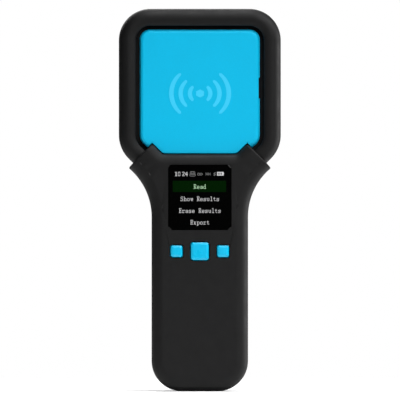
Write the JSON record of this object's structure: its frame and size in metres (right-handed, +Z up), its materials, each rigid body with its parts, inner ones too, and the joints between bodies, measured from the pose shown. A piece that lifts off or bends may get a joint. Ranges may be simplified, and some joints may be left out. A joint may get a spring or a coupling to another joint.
{
  "type": "microchip scanner",
  "caption": "Handheld animal microchip scanner: square antenna head with a blue panel, in the yoke of a straight grip with a display window and push buttons.",
  "frame": {"origin": "middle of the flat butt end of the grip, on the surface it stands on", "axes": "+Z up the grip to the antenna head, -Y towards the person who reads the display, +X to their right"},
  "size_m": [0.0808, 0.027, 0.191],
  "materials": {
    "shell_black": "fine-textured matt black ABS",
    "panel_blue": "satin light-blue ABS",
    "button_blue": "satin light-blue ABS",
    "window_black": "polished black acrylic",
    "screen": "dark display glass",
    "white_plastic": "white diffuser plastic",
    "cream_plastic": "natural nylon",
    "black_plastic": "smooth black plastic",
    "board_green": "green solder mask on glass-fibre board",
    "copper": "enamelled copper wire",
    "steel": "zinc-plated steel",
    "pouch_silver": "laminated aluminium pouch",
    "flex_amber": "amber polyimide film",
    "foam_grey": "soft grey foam",
    "tape_black": "black adhesive foam tape",
    "lead_red": "red silicone insulation",
    "lead_black": "black silicone insulation",
    "label_grey": "blank printed polyester label"
  },
  "bodies": {
    "casing": {"handle_front_shell": "shell_black", "handle_rear_shell": "shell_black", "head_front_frame": "shell_black", "head_rear_shell": "shell_black", "antenna_panel": "panel_blue", "coil_former": "cream_plastic", "antenna_coil": "copper", "coil_socket": "cream_plastic", "coil_plug": "cream_plastic", "coil_lead_start": "copper", "coil_lead_end": "copper", "display_window": "window_black", "window_adhesive": "tape_black", "display_panel": "screen", "display_backlight": "white_plastic", "display_cradle": "black_plastic", "display_flex": "flex_amber", "flex_connector": "cream_plastic", "switch_base_left": "black_plastic", "switch_base_centre": "black_plastic", "switch_base_right": "black_plastic", "main_board": "board_green", "processor_chip": "black_plastic", "reader_chip": "black_plastic", "charger_chip": "black_plastic", "tuning_capacitor": "cream_plastic", "buzzer": "black_plastic", "usb_socket": "steel", "battery_cell": "pouch_silver", "battery_pad": "foam_grey", "battery_socket": "cream_plastic", "battery_plug": "cream_plastic", "battery_lead_black": "lead_black", "battery_lead_red": "lead_red", "case_screw_low_left": "steel", "case_screw_low_right": "steel", "case_screw_mid_left": "steel", "case_screw_mid_right": "steel", "case_screw_top_left": "steel", "case_screw_top_right": "steel", "board_screw_left": "steel", "board_screw_right": "steel", "rating_label": "label_grey"},
    "left_button": {"button_left": "button_blue", "switch_plunger_left": "cream_plastic"},
    "centre_button": {"button_centre": "button_blue", "switch_plunger_centre": "cream_plastic"},
    "right_button": {"button_right": "button_blue", "switch_plunger_right": "cream_plastic"}
  },
  "joints": [
    {"name": "left_button_press", "type": "slide", "parent": "casing", "child": "left_button", "axis": [0, 1, 0], "range_m": [0, 0.0005], "stiffness_N_per_m": 2000, "springref_m": -0.0003},
    {"name": "centre_button_press", "type": "slide", "parent": "casing", "child": "centre_button", "axis": [0, 1, 0], "range_m": [0, 0.0005], "stiffness_N_per_m": 2000, "springref_m": -0.0003},
    {"name": "right_button_press", "type": "slide", "parent": "casing", "child": "right_button", "axis": [0, 1, 0], "range_m": [0, 0.0005], "stiffness_N_per_m": 2000, "springref_m": -0.0003}
  ]
}
